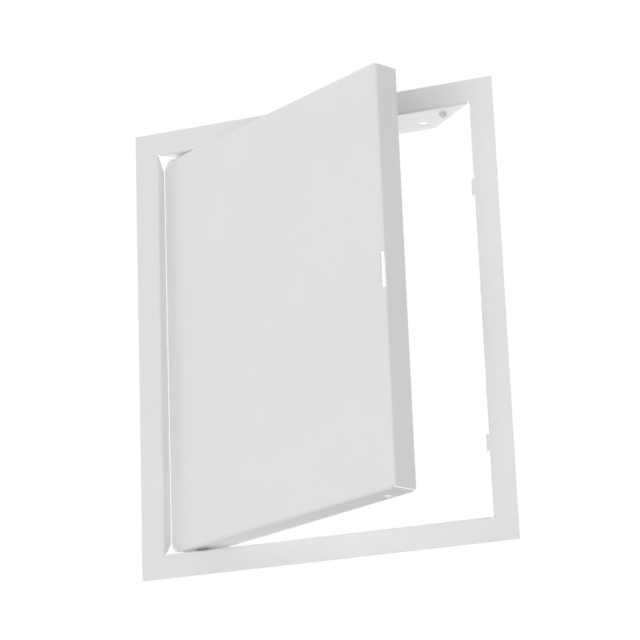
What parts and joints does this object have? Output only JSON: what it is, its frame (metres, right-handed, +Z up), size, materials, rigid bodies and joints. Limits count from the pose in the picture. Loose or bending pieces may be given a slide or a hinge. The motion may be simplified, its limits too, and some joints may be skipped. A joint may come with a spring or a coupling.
{
  "type": "access panel",
  "caption": "Folded sheet-steel access panel: a flanged frame with flaps folded back into the opening, and a shallow tray door that swings on pivots and snaps shut, with a pry slot.",
  "frame": {"origin": "centre of the opening, on the back face of the flange, which lies on the wall or ceiling", "axes": "+X to the right, +Y into the wall, +Z up along the hinge; the door hangs on the left"},
  "size_m": [0.229, 0.1146, 0.279],
  "materials": {
    "white_paint": "semi-gloss powder coat",
    "zinc": "zinc-plated steel",
    "nylon": "natural nylon"
  },
  "bodies": {
    "frame_assembly": {"frame": "white_paint", "upper_pivot_rivet": "zinc", "lower_pivot_rivet": "zinc", "upper_pivot_spacer": "nylon", "lower_pivot_spacer": "nylon", "upper_pivot_washer": "zinc", "lower_pivot_washer": "zinc", "upper_catch_stud": "white_paint", "lower_catch_stud": "white_paint"},
    "door": {"door_panel": "white_paint"}
  },
  "joints": [
    {"name": "door_hinge", "type": "hinge", "parent": "frame_assembly", "child": "door", "pos_m": [-0.0804, 0.0108, 0], "axis": [0, 0, -1], "range_deg": [-29, 81]}
  ]
}
